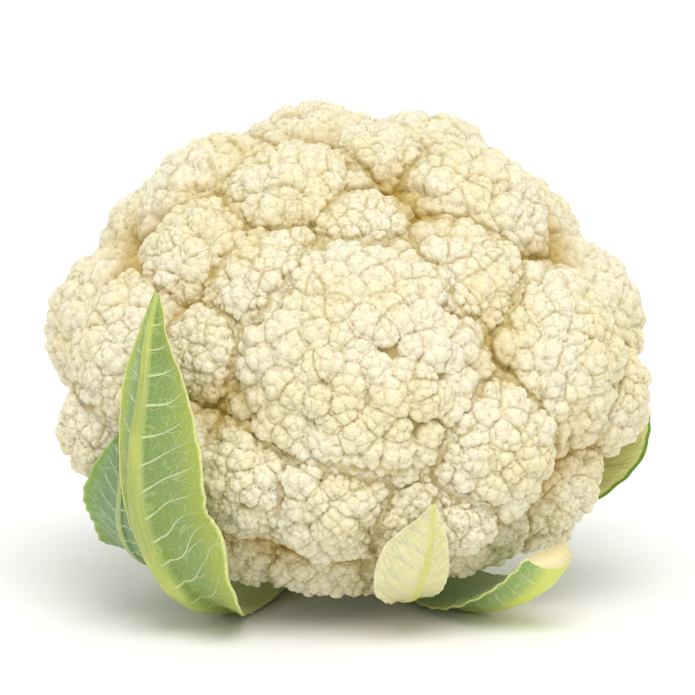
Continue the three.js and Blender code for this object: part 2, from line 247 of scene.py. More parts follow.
def new_group(name, inputs, outputs):
    """An empty node group, the values it is given by name, and the node that takes its results."""
    group = bpy.data.node_groups.new(name, "ShaderNodeTree")
    for label, value in inputs.items():
        socket = group.interface.new_socket(label, in_out="INPUT", socket_type=socket_kind(label))
        socket.default_value = value
    for label in outputs:
        group.interface.new_socket(label, in_out="OUTPUT", socket_type=socket_kind(label))
    entry = add_node(group, "NodeGroupInput")
    given = {label: Value(group, entry.outputs[label]) for label in inputs}
    return group, given, add_node(group, "NodeGroupOutput")


def place_group(tree, group, **values):
    """Adds a shared effect with its inputs fed, and gives its outputs by name."""
    node = add_node(tree, "ShaderNodeGroup", node_tree=group)
    set_inputs(tree, node, **values)
    return {label: Value(tree, socket) for label, socket in node.outputs.items()}


# %% The shared effects
WHITE = (1, 1, 1, 1)
CLOUD_STEP = (0.38, 0.66)
BETWEEN_GAIN = 1.4


def mottled_tissue():
    """Soft clouds of a second colour, as in all fresh plant tissue."""
    inputs = {"Colour": WHITE, "Cloud colour": WHITE, "Size": 60.0, "Amount": 0.5}
    group, given, result = new_group("Mottled tissue", inputs, ["Colour"])
    noise = add_node(group, "ShaderNodeTexNoise")
    set_inputs(group, noise, Vector=object_place(group), Scale=given["Size"], Detail=4.0)
    clouds = smooth_mask(*CLOUD_STEP, Value(group, noise.outputs["Fac"])) * given["Amount"]
    set_inputs(group, result, Colour=mix_colour(group, clouds, given["Colour"], given["Cloud colour"]))
    return group


def fine_grain():
    """Small rounded grains, given as a height for bump and as a mask of the lines between them, in which
    the curd paints shade.
    """
    inputs = {"Grain size": 800.0, "Roundness": 1.0}
    group, given, result = new_group("Fine grain", inputs, ["Height", "Between"])
    cells = add_node(group, "ShaderNodeTexVoronoi", feature="F1")
    set_inputs(group, cells, Vector=object_place(group), Scale=given["Grain size"])
    steep = Value(group, cells.outputs["Distance"]) ** 2.0
    # The mask for painted shade in the lines between grains, darkest at their edges.
    between = (steep * BETWEEN_GAIN).clamped()
    set_inputs(group, result, Height=1.0 - steep * given["Roundness"], Between=between)
    return group


# The side veins' course, which the puckers of the leaf's mesh follow too: how much they bend
# and swing, how the swing changes along and away from the midrib, and how far in millimetres
# the veins on the left stand before those on the right.
VEIN_BEND = 0.012
VEIN_SWING = 0.9
SWING_ALONG = 0.11
SWING_DRIFT = 1.7
SWING_AWAY = 0.3
LEFT_VEIN_STEP = 3.4
FORK_START = 0.42
NET_SCALE = 0.36


def leaf_veins():
    """Side veins that leave the rib at even steps, curve towards the margin and fork on the way.

    Along and Across are millimetres from the leaf's base and from its midrib.
    """
    inputs = {"Along": 0.0, "Across": 0.0, "Width": 10.0, "Spacing": 8.0, "Slope": 0.3, "Left slope": 1.2}
    group, given, result = new_group("Leaf veins", inputs, ["Vein", "Net"])
    along, across, spacing = given["Along"], given["Across"], given["Spacing"]
    reach = abs(across)
    left = across < 0.0
    slope = given["Slope"] + left * (given["Left slope"] - given["Slope"])
    swing = calculate("SINE", along * SWING_ALONG) * SWING_DRIFT + reach * SWING_AWAY
    swing = calculate("SINE", swing) * VEIN_SWING
    start = along - slope * reach - reach ** 2.0 * VEIN_BEND + swing + left * LEFT_VEIN_STEP
    phase = calculate("FRACT", start / spacing)
    away = calculate("MINIMUM", phase, 1.0 - phase) * spacing
    edge = reach / given["Width"]
    thick = (1.0 - edge).clamped() * 0.5 + 0.2
    main = (1.0 - smooth_mask(thick * 0.5, thick, away)) * (1.0 - smooth_mask(0.8, 1.0, edge))

    # Past this line each vein has two arms, which part from it at half a slope.
    past = calculate("MAXIMUM", reach - given["Width"] * FORK_START, 0.0) * 0.5
    thin = thick * 0.7
    fork = 1.0 - smooth_mask(thin * 0.4, thin, abs(away - past))
    fork = fork * smooth_mask(FORK_START, 0.5, edge) * (0.8 - smooth_mask(0.85, 1.0, edge)).clamped()

    flat = add_node(group, "ShaderNodeCombineXYZ")
    set_inputs(group, flat, X=start, Y=across)
    cells = add_node(group, "ShaderNodeTexVoronoi", feature="DISTANCE_TO_EDGE")
    set_inputs(group, cells, Vector=flat.outputs[0], Scale=NET_SCALE)
    net = 1.0 - smooth_mask(0.02, 0.09, Value(group, cells.outputs["Distance"]))
    set_inputs(group, result, Vein=calculate("MAXIMUM", main, fork), Net=net)
    return group


FIBRE_STRETCH = 0.035
FIBRE_STEP = (0.42, 0.68)


def lengthwise_fibres():
    """Faint streaks that run along a stalk, as a mask that is 1 on a pale strand."""
    inputs = {"Along": 0.0, "Across": 0.0, "Spacing": 1.0}
    group, given, result = new_group("Lengthwise fibres", inputs, ["Fibre"])
    place = add_node(group, "ShaderNodeCombineXYZ")
    set_inputs(group, place, X=given["Across"] / given["Spacing"], Y=given["Along"] * FIBRE_STRETCH)
    noise = add_node(group, "ShaderNodeTexNoise")
    set_inputs(group, noise, Vector=place.outputs[0], Scale=1.0, Detail=2.0)
    set_inputs(group, result, Fibre=smooth_mask(*FIBRE_STEP, Value(group, noise.outputs["Fac"])))
    return group


MOTTLED = mottled_tissue()
GRAIN = fine_grain()
VEINS = leaf_veins()
FIBRES = lengthwise_fibres()
print("shared effects:", [group.name for group in (MOTTLED, GRAIN, VEINS, FIBRES)])


# %% [markdown]
# The curd is ivory on its crowns and creamier on its flanks. Its creases and the crevices
# that run deep between the florets are darkened to a golden olive, which is painted shade.
# Light goes a little way into it, which softens its shadows. The depth of every point was
# stored when its mesh was made, so the painted shade follows the form.

# %% The curd's material
# The valley, between and hollow colours are dark golden olives, painted shade for creases, grain lines and
# deep crevices; crown, cloud and stalk are the curd's own colours.
CURD_COLOURS = {
    "crown": (241, 233, 210), "cloud": (238, 226, 186), "valley": (168, 144, 62),
    "between": (200, 190, 112), "hollow": (190, 158, 56), "stalk": (226, 226, 176),
}
CURD_LAYERS = {"valley": 0.8, "between": 0.3, "hollow": 0.85, "stalk": 1.0}


def new_material(name):
    material = bpy.data.materials.new(name)
    material.use_nodes = True
    tree = material.node_tree
    return material, tree, tree.nodes["Principled BSDF"]


def tints_of(colours):
    return {part: linear(*colour) for part, colour in colours.items()}


def bump_into(tree, shader, height, distance):
    bump = add_node(tree, "ShaderNodeBump")
    set_inputs(tree, bump, Height=height, Distance=distance, Strength=1.0)
    set_inputs(tree, shader, Normal=bump.outputs["Normal"])


def curd_material():
    material, tree, shader = new_material("curd")
    tint = tints_of(CURD_COLOURS)
    crown = place_group(tree, MOTTLED, Colour=tint["crown"], Cloud_colour=tint["cloud"],
                        Size=45.0, Amount=0.8)
    grain = place_group(tree, GRAIN, Grain_size=1150.0, Roundness=1.0)
    colour = crown["Colour"]
    # Painted shade: the valley, between and hollow layers darken creases, grain lines and deep crevices
    # over the curd's own colour.
    for layer, strength in CURD_LAYERS.items():
        mask = grain["Between"] if layer == "between" else attribute(tree, layer)
        colour = mix_colour(tree, (mask * strength).clamped(), colour, tint[layer])
    set_inputs(tree, shader, Base_Color=colour, Roughness=0.62, Specular_IOR_Level=0.3,
               Subsurface_Weight=0.35, Subsurface_Radius=(1.0, 0.75, 0.35), Subsurface_Scale=0.003)
    bump_into(tree, shader, grain["Height"], 0.00025)
    return material


CURD = curd_material()

# %% [markdown]
# The curd branches again and again: florets carry lobes, lobes carry pebbles, and those carry
# granules. One rule makes all of it: a round part gets smaller round parts on its outer side,
# sunk into it by a fixed share. The points of a fine sphere are then moved out to the
# outermost of those parts. Thin creases are cut where two parts reach equally far, and seams
# where a floret meets its neighbour, so the shadows between them are true ones. The same
# creases, seams and gaps are also darkened in the colour, which is painted shade.

# %% The florets and where they stand
# Bearing and latitude in degrees, the dome's width from its middle and the depth of its tip
# under the skin in millimetres.
FRONT_FLORETS = [
    (5, 38, 39, 0), (-4, 8, 22.5, 3), (-24, 10, 17.4, 3), (38, 12, 23.4, 2), (26, 1, 14, 3),
    (14, 3, 14, 4), (69, 20, 27, 0), (60, 50, 24, 6), (110, 51, 23, 1), (158, 65, 16, 5),
    (22, 79, 16.5, 7), (-118, 73, 24, 4), (-38, 55, 24, 6), (-82, 47, 22, 6), (-70, 20, 24, 0),
    (-46, 35, 15, 6), (-67, 2, 17, 0), (-43, 8, 19, 3), (-8, -20, 21, 1), (-32, -16, 19, 2),
    (14, -20, 18, 3), (36, -15, 20, 3), (62, -12, 19, 3), (80, 1, 17, 0), (-84, -12, 20, 3),
    (-60, -20, 18, 3), (61, -25, 18, 0),
]
BACK_RINGS = [
    {"latitude": 39, "first": 150, "last": 234, "count": 3, "width": 25, "depth": 3},
    {"latitude": 9, "first": 100, "last": 264, "count": 6, "width": 23, "depth": 1},
    {"latitude": -17, "first": 112, "last": 252, "count": 6, "width": 19, "depth": 3},
]
DOME_CURVE = 1.22
GOLDEN_ANGLE = math.pi * (3 - math.sqrt(5))


def floret_list():
    florets = list(FRONT_FLORETS)
    for ring in BACK_RINGS:
        for bearing in np.linspace(ring["first"], ring["last"], ring["count"]):
            florets.append((bearing, ring["latitude"], ring["width"], ring["depth"]))
    return florets


FLORETS = floret_list()
print(len(FLORETS), "florets,", len(FRONT_FLORETS), "of them on the side that leans forward")

# %% A fine sphere with most of its points on its crown
SPHERES = {}
CROWN_SHARE = 0.52


def from_pole(polar, around):
    """Unit vectors at an angle from +Z and an angle around it, both in radians."""
    return np.stack([np.sin(polar) * np.cos(around), np.sin(polar) * np.sin(around), np.cos(polar)], -1)


def fine_sphere(frequency):
    """Unit points and triangles of an icosahedron whose edges are each cut into equal parts."""
    if frequency in SPHERES:
        return SPHERES[frequency]
    golden = (1 + math.sqrt(5)) / 2
    corners = unit(np.array([
        (-1, golden, 0), (1, golden, 0), (-1, -golden, 0), (1, -golden, 0),
        (0, -1, golden), (0, 1, golden), (0, -1, -golden), (0, 1, -golden),
        (golden, 0, -1), (golden, 0, 1), (-golden, 0, -1), (-golden, 0, 1),
    ], float))
    sides = [(0, 11, 5), (0, 5, 1), (0, 1, 7), (0, 7, 10), (0, 10, 11), (1, 5, 9), (5, 11, 4), (11, 10, 2),
             (10, 7, 6), (7, 1, 8), (3, 9, 4), (3, 4, 2), (3, 2, 6), (3, 6, 8), (3, 8, 9), (4, 9, 5),
             (2, 4, 11), (6, 2, 10), (8, 6, 7), (9, 8, 1)]
    steps = [(i, j) for i in range(frequency + 1) for j in range(frequency + 1 - i)]
    place = {step: index for index, step in enumerate(steps)}
    grid = np.array(steps, float) / frequency
    pattern = []
    for i, j in steps:
        if i + j < frequency:
            pattern.append((place[i, j], place[i + 1, j], place[i, j + 1]))
        if i + j < frequency - 1:
            pattern.append((place[i + 1, j], place[i + 1, j + 1], place[i, j + 1]))
    pattern = np.array(pattern)
    points, faces = [], []
    for number, (a, b, c) in enumerate(sides):
        to_b = corners[b] - corners[a]
        to_c = corners[c] - corners[a]
        points.append(unit(corners[a] + grid[:, :1] * to_b + grid[:, 1:] * to_c))
        faces.append(pattern + number * len(grid))
    points = np.concatenate(points)
    faces = np.concatenate(faces)
    _, first, merged = np.unique(np.round(points, 7), axis=0, return_index=True, return_inverse=True)
    SPHERES[frequency] = points[first], merged.ravel()[faces]
    return SPHERES[frequency]


def crowned(points):
    """Slides the points of a unit sphere towards its +Z end, where a floret is seen."""
    polar = np.arccos(np.clip(points[:, 2], -1, 1))
    moved = polar * (CROWN_SHARE + (1 - CROWN_SHARE) * (polar / math.pi) ** 3)
    return from_pole(moved, np.arctan2(points[:, 1], points[:, 0]))


def turned_to(axes):
    """Rotation matrices whose third column is each given axis."""
    helper = np.where(np.abs(axes[..., 2:]) < 0.9, [0.0, 0.0, 1.0], [1.0, 0.0, 0.0])
    first = unit(np.cross(helper, axes))
    return np.stack([first, np.cross(axes, first), axes], -1)


# %% Smaller round parts on each round part
# Size and spacing are shares of the part that carries them, and sunk is a share of their own
# size. A ray is followed only into the few parts in which it reaches furthest.
PEBBLE = {"size": 0.40, "spacing": 1.62, "sunk": 0.28}
GRANULE = {"size": 0.36, "spacing": 1.60, "sunk": 0.60}
CHILD_REACH = math.radians(105)
SIZE_DRAW = 0.18
TURN_DRAW = 0.3
HEXAGON_AREA = 0.87
PARTS_FOLLOWED = 3


def count_on_cap(reach, spacing):
    """How many parts fit on a cap of a unit sphere, where each takes up a hexagon."""
    return round(2 * math.pi * (1 - math.cos(reach)) / (HEXAGON_AREA * spacing ** 2))


def spiral(count, reach, spacing, rng, shape=()):
    """Directions on a cap round +Z in a golden-angle spiral, each nudged by a seeded draw."""
    number = np.arange(count) + 0.5
    polar = np.arccos(1 - (1 - math.cos(reach)) * number / count)
    nudge = rng.uniform(-1, 1, shape + (count, 2)) * TURN_DRAW * spacing
    polar = np.abs(polar + nudge[..., 0])
    around = number * GOLDEN_ANGLE + nudge[..., 1] / np.maximum(np.sin(polar), 0.3)
    around = around + rng.uniform(0, 2 * math.pi, shape + (1,))
    return from_pole(polar, around)


def children_of(centres, radii, axes, kind, rng):
    """Gives each round part its smaller parts: their centres, radii and outward axes."""
    spacing = kind["spacing"] * kind["size"]
    count = count_on_cap(CHILD_REACH, spacing)
    out = spiral(count, CHILD_REACH, spacing, rng, centres.shape[:-1])
    out = np.einsum("...ij,...kj->...ki", turned_to(axes), out)
    size = radii[..., None] * kind["size"] * (1 + rng.uniform(-SIZE_DRAW, SIZE_DRAW, out.shape[:-1]))
    away = radii[..., None] - kind["sunk"] * size
    return centres[..., None, :] + out * away[..., None], size, out


def reach_through(out, centres, radii):
    """How far rays from the origin run before they leave each sphere, or 0 where they miss."""
    along = (out * centres).sum(-1)
    inside = radii ** 2 - (centres ** 2).sum(-1) + along ** 2
    return np.where(inside > 0, along + np.sqrt(np.maximum(inside, 0)), 0)


def lead_of(reach):
    """How much further each ray reaches in its first part than in its second; 0 on a crease."""
    second, first = np.partition(reach, -2, axis=1)[:, -2:].T
    return first - second


def furthest(reach):
    """The few parts in which each ray reaches furthest."""
    return np.argpartition(-reach, PARTS_FOLLOWED, axis=1)[:, :PARTS_FOLLOWED]


def outermost(out, centres, radii, parents):
    """Each ray's reach in the parts on its kept parents, its lead, and the parts to keep next."""
    rows = np.arange(len(out))[:, None]
    reach = reach_through(out[:, None, None, :], centres[parents], radii[parents])
    count = radii.shape[1]
    flat = reach.reshape(len(out), -1)
    best = furthest(flat)
    chosen = parents[rows, best // count] * count + best % count
    return flat.max(1), lead_of(flat), chosen


# %% The parts of one floret
# A lobe's radius is a share of its floret's width, between a smallest and a largest one.
LOBE_SHARE, LOBE_SMALLEST, LOBE_LARGEST = 0.25, 4.2, 5.8
LOBE_DRAW = 0.26
LOBE_SPACING = 1.62
LOBE_REACH = math.radians(98)
LOBE_UNEVEN = 0.9
FEWEST_LOBES = 6
FIRST_FLORET_SEED = 100


def lobe_sizes(width):
    """Radii of a floret's lobes, their pebbles and granules, and how far those stand out of a lobe."""
    size = float(np.clip(width * LOBE_SHARE, LOBE_SMALLEST, LOBE_LARGEST))
    pebble = size * PEBBLE["size"]
    granule = pebble * GRANULE["size"]
    proud = pebble * (1 - PEBBLE["sunk"]) + granule * (1 - GRANULE["sunk"])
    return size, pebble, granule, proud


def dome_of(floret):
    """The middle and the radius of the sphere that a floret's tips touch."""
    bearing, latitude, width, depth = floret
    axis = direction_to(bearing, latitude)
    dome = width * DOME_CURVE
    return axis * (curd_reach(axis) - depth - dome), dome


def floret_parts(index, width, dome, turn):
    """Centres and radii of a floret's lobes, of their pebbles and of the pebbles' granules."""
    rng = np.random.default_rng(FIRST_FLORET_SEED + index)
    size, _, _, proud = lobe_sizes(width)
    spacing = LOBE_SPACING * size / dome
    count = max(FEWEST_LOBES, count_on_cap(LOBE_REACH, spacing))
    axes = spiral(count, LOBE_REACH, spacing, rng) @ turn.T
    radii = size * (1 + rng.uniform(-LOBE_DRAW, LOBE_DRAW, count))
    away = dome - proud - radii + rng.uniform(-LOBE_UNEVEN, LOBE_UNEVEN, count)
    lobes = axes * away[:, None]
    small, small_radii, small_axes = children_of(lobes, radii, axes, PEBBLE, rng)
    grains, grain_radii, _ = children_of(small, small_radii, small_axes, GRANULE, rng)
    grains = grains.reshape(-1, *grains.shape[2:])
    grain_radii = grain_radii.reshape(-1, grain_radii.shape[-1])
    parts = (lobes, radii, small, small_radii, grains, grain_radii)
    return [part.astype(np.float32) for part in parts]


# %% Grow one floret
# Widths of creases are shares of a part's size; depths and the seam are in millimetres. The
# gap's start, full and floor are shares of a lobe's size, down from the pebbles' feet. The
# colour is how much painted shade, in the dark valley colour, each of them takes.
LOBE_CREASE = {"width": 0.14, "depth": 0.4, "colour": 0.7}
PEBBLE_CREASE = {"width": 0.20, "depth": 0.3, "colour": 0.46}
SEAM = {"width": 1.2, "depth": 0.8, "colour": 0.7}
LOBE_GAP = {"start": 0.2, "full": 0.6, "floor": 0.55, "colour": 0.35}
STALK_START, STALK_END = math.radians(88), math.radians(112)
STALK_SHARE = 0.58
# How deep under the skin, in millimetres, the painted shade of deep crevices starts and is full.
HOLLOW_START, HOLLOW_FULL = 8, 19


def seam_share(points, index):
    """1 where a floret meets a neighbour, 0 away from it."""
    nearest = np.full(len(points), np.inf)
    for other, floret in enumerate(FLORETS):
        if other != index:
            centre, dome = dome_of(floret)
            width = floret[2]
            proud = lobe_sizes(width)[-1]
            gap = np.linalg.norm(points - centre, axis=1) - dome + 0.5 * proud
            nearest = np.minimum(nearest, gap)
    return 1 - smooth_step(0, SEAM["width"], np.abs(nearest))


def pressed_in(points, centre, dome):
    """Presses a crown in where its dome would pass the skin."""
    far = unit(points)
    facing = smooth_step(-0.2, 0.3, (unit(points - centre) * far).sum(1))
    excess = np.maximum(0, reach_through(far, centre, dome) - curd_reach(far) + SKIN_MARGIN)
    return points - far * (excess * facing)[:, None]


def grow_floret(index, floret, frequency):
    """Points in the head's frame, triangles, and the masks that the curd's material reads."""
    bearing, latitude, width, _ = floret
    centre, dome = dome_of(floret)
    size, pebble, _, proud = lobe_sizes(width)
    turn = turned_to(direction_to(bearing, latitude))
    sphere, faces = fine_sphere(frequency)
    local = crowned(sphere)
    out = (local @ turn.T).astype(np.float32)

    lobes, radii, small, small_radii, grains, grain_radii = floret_parts(index, width, dome, turn)
    reach = reach_through(out[:, None, :], lobes, radii)
    small_reach, small_lead, chosen = outermost(out, small, small_radii, furthest(reach))
    grain_reach, _, _ = outermost(out, grains, grain_radii, chosen)

    lobe_line = 1 - smooth_step(0, LOBE_CREASE["width"] * size, lead_of(reach))
    pebble_line = 1 - smooth_step(0, PEBBLE_CREASE["width"] * pebble, small_lead)
    grown = np.maximum.reduce([reach.max(1), small_reach, grain_reach])
    grown = grown - LOBE_CREASE["depth"] * lobe_line - PEBBLE_CREASE["depth"] * pebble_line
    grown = np.maximum(grown, dome - proud - LOBE_GAP["floor"] * size)
    under = smooth_step(STALK_START, STALK_END, np.arccos(np.clip(local[:, 2], -1, 1)))
    radius = grown * (1 - under) + np.minimum(STALK_SHARE * dome, grown) * under
    points = centre + out * radius[:, None]
    seam = seam_share(points, index) * (1 - under)
    points = pressed_in(points - out * SEAM["depth"] * seam[:, None], centre, dome)

    # Painted shade: gaps, creases and seams take the dark valley colour, and points deep under the skin
    # take the hollow colour.
    gap = smooth_step(proud + LOBE_GAP["start"] * size, proud + LOBE_GAP["full"] * size, dome - radius)
    valley = LOBE_GAP["colour"] * gap + LOBE_CREASE["colour"] * lobe_line ** 2
    valley = valley + PEBBLE_CREASE["colour"] * pebble_line ** 2 + SEAM["colour"] * seam
    below = curd_reach(unit(points)) - np.linalg.norm(points, axis=1)
    hollow = smooth_step(HOLLOW_START, HOLLOW_FULL, below)
    masks = {"valley": np.clip(valley, 0, 1) * (1 - under), "hollow": hollow * (1 - under), "stalk": under}
    return points, faces, masks


# %% All florets
# How many parts a sphere's edges are cut into, for each millimetre of the floret's width.
FRONT_DETAIL, BACK_DETAIL = 1.6, 1.05

floret_faces = 0
for index, floret in enumerate(FLORETS):
    detail = FRONT_DETAIL if index < len(FRONT_FLORETS) else BACK_DETAIL
    points, faces, masks = grow_floret(index, floret, int(round(detail * floret[2])))
    make_piece(f"floret_{index + 1:02d}", to_row_frame(points), faces, masks, "curd", CURD)
    floret_faces += len(faces)
print("florets:", floret_faces, "triangles")

# %% [markdown]
# Behind the florets the branches grow together into the thick top of the stem. From below
# one sees them spread like the arms of a tree, smooth and pale green. Each is a row of
# round beads that melt into each other, and one closed skin is drawn over all of them.
# Their upper parts, deep under the florets, are darkened with painted shade.

# %% The branches under the curd
BRANCH = {"root": 14.0, "height": -32.0, "root_radius": 11.0, "tip_radius": 13.0, "beads": 7, "highest": 30}
BRANCH_HOLLOW_FULL = 20
CORE_FREQUENCY = 28


def branch_beads():
    centres, radii = [], []
    for floret in FLORETS:
        bearing, latitude = floret[:2]
        if latitude >= BRANCH["highest"]:
            continue
        end, _ = dome_of(floret)
        start = direction_to(bearing, 0) * BRANCH["root"] + [0, 0, BRANCH["height"]]
        for share in np.linspace(0, 1, BRANCH["beads"]):
            centres.append(start + (end - start) * share)
            radii.append(BRANCH["root_radius"] + (BRANCH["tip_radius"] - BRANCH["root_radius"]) * share)
    return np.array(centres), np.array(radii)


def branches_piece():
    out, faces = fine_sphere(CORE_FREQUENCY)
    centres, radii = branch_beads()
    reach = reach_through(out[:, None, :], centres, radii).max(1)
    radius = np.maximum(reach, egg_radius(CORE, out))
    radius = np.minimum(radius, curd_reach(out) - SKIN_MARGIN)
    # Painted shade on the branches' upper parts, darker the deeper they lie under the florets.
    hollow = smooth_step(HOLLOW_START, BRANCH_HOLLOW_FULL, curd_reach(out) - radius)
    upper = smooth_step(-5, 25, out[:, 2] * radius)
    masks = {"valley": np.zeros(len(out)), "hollow": upper * hollow, "stalk": 1 - upper}
    points = to_row_frame(out * radius[:, None])
    return make_piece("branches", points, faces, masks, "curd", CURD)


print("branches:", len(branches_piece().data.polygons), "triangles")

# %% [markdown]
# A cauliflower leaf has a thick pale midrib, side veins that leave it and curve towards the
# margin, and a blade that is puckered between them and waved at its edge. The blade is laid
# out in rows along the midrib and columns across it, and each point is pushed out from the
# curd by the rib, the veins and the waves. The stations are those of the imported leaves.

# %% The leaves' stations
# Each station along the midrib: bearing, latitude, gap to the skin, width left and right.
# Slopes are those of the side veins, left and right. The grid is how many rows there are along
# the leaf and how many columns on each side of its midrib.
BLADE = 0.9
SLIMMEST = 1.1
BACK_LEAF = {
    "rib": {"base": 7, "tip": 0.9, "height": 4.5, "tip_height": 0.4, "fade": 1},
    "flare": {"left": 1.5, "right": 1.5},
    "wave": {"height": 2.2, "count": 4, "left": 1, "right": 1},
    "grid": (90, 14), "slopes": (0.7, 0.7),
}
LEAVES = {
    "leaf_left_front": {
        "stations": [
            (-56, -76, 13, 8, 8), (-46, -65, 12, 8, 9), (-37, -47, 9.6, 8, 9), (-32.5, -28, 8, 7.5, 10.5),
            (-33, -13, 7, 6.5, 22), (-36, -4, 5.5, 6, 28), (-40, 5, 4, 5.5, 26), (-43, 16, 3.5, 7, 24),
            (-46, 27, 3.5, 7.5, 16), (-51.5, 36, 3.5, 4, 7), (-55.5, 42.5, 4.5, 1, 1),
        ],
        "rib": {"base": 8, "tip": 0.9, "height": 6, "tip_height": 0.5, "fade": 0.9},
        "flare": {"left": 1, "right": 1},
        "wave": {"height": 2.2, "count": 5, "left": 0.4, "right": 1},
        "grid": (200, 28), "spacing": 8.4, "slopes": (1.3, 0.35),
    },
    "leaf_left_side": {
        "stations": [
            (-94, -76, 13, 6, 6), (-82, -64, 12, 6.5, 6), (-68, -50, 11, 8.5, 6), (-58, -37, 9, 11, 6),
            (-51, -24, 6, 13, 7), (-48, -12, 2.5, 13.5, 8), (-47, -1, 0.9, 13, 8), (-47, 9, 0.9, 9, 7),
            (-48, 16, 0.9, 1, 1),
        ],
        "rib": {"base": 5, "tip": 0.8, "height": 3, "tip_height": 0.25, "fade": 1.5},
        "flare": {"left": 1, "right": 0.2},
        "wave": {"height": 1.8, "count": 4, "left": 1, "right": 0.2},
        "grid": (120, 20), "spacing": 7.5, "slopes": (0.8, 0.5),
    },
    "leaf_front_stub": {
        "stations": [
            (30, -76, 10, 6, 6), (21, -62, 7.5, 6, 6), (16, -46, 3.5, 5.5, 6), (14.5, -31, 0.6, 5.5, 6),
            (14, -18, 0.6, 5.5, 7.5), (14.5, -6, 0.6, 15, 8), (16, 4, 0.6, 13.5, 5.5),
            (17, 12, 0.8, 1, 1),
        ],
        "rib": {"base": 4.5, "tip": 0.7, "height": 2, "tip_height": 0.25, "fade": 1.2},
        "flare": {"left": 0.6, "right": 0.6},
        "wave": {"height": 1.2, "count": 3, "left": 1, "right": 0.5},
        "grid": (100, 16), "spacing": 7, "slopes": (0.9, 0.9),
    },
    "leaf_right_front": {
        "stations": [
            (60, -76, 12, 9, 9), (47, -60, 11, 11, 10), (38, -43, 8.5, 14, 10),
            (37.5, -27, 6.2, 15.5, 10), (39, -16, 4.8, 15, 9), (40.5, -7, 3.2, 11, 8),
        ],
        "rib": {"base": 9, "tip": 7.5, "height": 7.5, "tip_height": 7.5, "fade": 1},
        "flare": {"left": 0.5, "right": 0.5},
        "wave": {"height": 1, "count": 2, "left": 1, "right": 0.4},
        "grid": (110, 20), "spacing": 9, "slopes": (0.5, 0.5),
    },
    "leaf_right_side": {
        "stations": [
            (106, -76, 13, 6.5, 6.5), (98, -64, 12, 7, 7), (90, -52, 9, 7.5, 7), (85, -41, 6, 8, 8),
            (82, -32, 3.5, 8, 10), (80, -25, 1.8, 8, 10), (83.5, -19, 1.2, 8, 9), (88, -14, 1, 6.5, 7),
            (91, -10, 1, 1, 1),
        ],
        "rib": {"base": 5.5, "tip": 0.8, "height": 3.6, "tip_height": 0.3, "fade": 1.2},
        "flare": {"left": 3.8, "right": 0.5},
        "wave": {"height": 1.6, "count": 4, "left": 0.5, "right": 1},
        "grid": (120, 16), "spacing": 7, "slopes": (0.6, 0.6),
    },
    "leaf_back_right": {
        "stations": [
            (146, -76, 13, 8, 8), (139, -64, 12, 10, 10), (134, -51, 9, 14, 14), (131, -40, 6, 18, 18),
            (130, -30, 3.5, 20, 20), (129, -20, 1.8, 20, 20), (129, -11, 1.2, 14, 14), (130, -3, 1.5, 1, 1),
        ],
        **BACK_LEAF, "spacing": 8,
    },
    "leaf_back": {
        "stations": [
            (190, -76, 13, 8, 8), (187, -64, 11.5, 9, 9), (186, -51, 8, 15, 15), (184, -37, 5, 21, 20),
            (183, -23, 2.5, 24, 23), (183, -9, 1.2, 23, 23), (184, 3, 1.2, 16, 17), (186, 12, 1.5, 1, 1),
        ],
        **BACK_LEAF, "spacing": 9,
    },
    "leaf_back_left": {
        "stations": [
            (236, -76, 13, 8, 8), (234, -64, 12, 10, 9), (235, -52, 9, 14, 14), (235, -41, 6, 17, 16),
            (235, -31, 3.5, 19, 17), (235, -22, 1.8, 18, 17), (235, -14, 1.2, 12, 12), (235, -7, 1.5, 1, 1),
        ],
        **BACK_LEAF, "spacing": 8,
        "wave": {"height": 2, "count": 4, "left": 1, "right": 1},
    },
}


# %% Follow a leaf along its midrib
def along_stations(rows, share):
    """A smooth curve through rows of values, from share 0 at the first to 1 at the last."""
    rows = np.asarray(rows, float)
    last = len(rows) - 1
    padded = np.vstack([2 * rows[0] - rows[1], rows, 2 * rows[-1] - rows[-2]])
    index = np.minimum((share * last).astype(int), last - 1)
    u = (share * last - index)[:, None]
    a, b, c, d = (padded[index + k] for k in range(4))
    slopes = (c - a) * u + (2 * a - 5 * b + 4 * c - d) * u * u
    return b + 0.5 * (slopes + (3 * b - a - 3 * c + d) * u ** 3)


def midrib_points(leaf, share):
    values = along_stations(leaf["stations"], share)
    out = direction_to(values[:, 0], values[:, 1])
    return out * (egg_radius(SKIN, out) + values[:, 2])[:, None]


def cushions(leaf, along, across, width):
    """How high the blade is puckered: 0 on a side vein, 1 midway between two.

    along is the distance from the leaf's base, across from the midrib, both in millimetres.
    """
    reach = np.abs(across)
    on_left = across < 0
    slope = np.where(on_left, *leaf["slopes"])
    swing = VEIN_SWING * np.sin(SWING_AWAY * reach + SWING_DRIFT * np.sin(SWING_ALONG * along))
    start = along - slope * reach - VEIN_BEND * reach ** 2 + swing + np.where(on_left, LEFT_VEIN_STEP, 0)
    phase = start / leaf["spacing"] - np.floor(start / leaf["spacing"])
    edge = np.clip(reach / width, 0, 1)
    return np.sin(math.pi * phase) ** 0.7 * smooth_step(0.0, 0.2, edge) * smooth_step(1.05, 0.7, edge)


# %% Grow one leaf
FRILL = {"height": 0.6, "length": 7.0, "notch": 0.04, "full_width": 6}
FULL_FLARE_WIDTH = 8
FULL_PUCKER_WIDTH = 12
PUCKER_DEPTH = 0.6
LEFT_WAVE_PHASE = 1.3
MARGIN_THINNING = 0.35
MIDRIB_STEP = 0.002


def toothed_halves(values, rib_half, rng):
    """The blade's widths left and right of the midrib, with small notches in its margins."""
    rows = len(values)
    notch = np.repeat(rng.uniform(0, 1, (2, (rows - 1) // 4 + 2)), 4, axis=1)
    notch = np.array([np.convolve(row, np.ones(5) / 5, "same") for row in notch])[:, 2:rows + 2]
    teeth = 1 - FRILL["notch"] * notch
    return np.maximum(values[:, 3:5].T * teeth, np.maximum(rib_half + 0.2, SLIMMEST))


